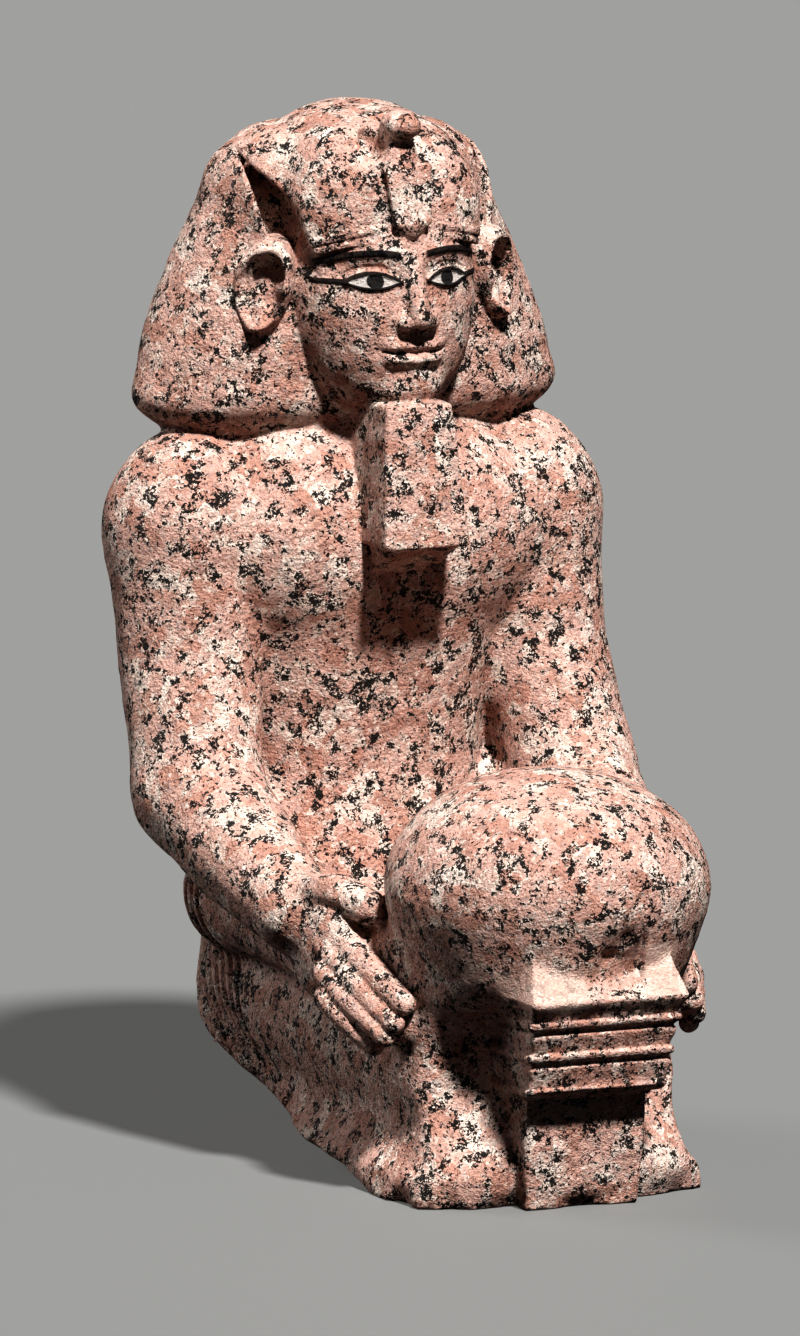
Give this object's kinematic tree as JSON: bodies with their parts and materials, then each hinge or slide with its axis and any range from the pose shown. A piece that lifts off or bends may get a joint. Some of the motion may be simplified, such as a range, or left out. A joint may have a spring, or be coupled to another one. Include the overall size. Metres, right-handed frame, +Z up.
{
  "type": "kneeling stone statue",
  "caption": "Kneeling king carved in granite, in a bag-shaped headdress and beard, hands on a round jar on the lap, a pillar before it; the underside is broken off.",
  "frame": {"origin": "on the level underside, below the middle of the block", "axes": "-Y the way the figure faces, +X towards the figure's left hand, +Z up"},
  "size_m": [0.3454, 0.5002, 0.6737],
  "materials": {
    "granite": "matte red granite with black flecks, finely dressed, broken rough underneath"
  },
  "bodies": {
    "root": {"kneeling_king_statue": "granite"}
  },
  "joints": []
}
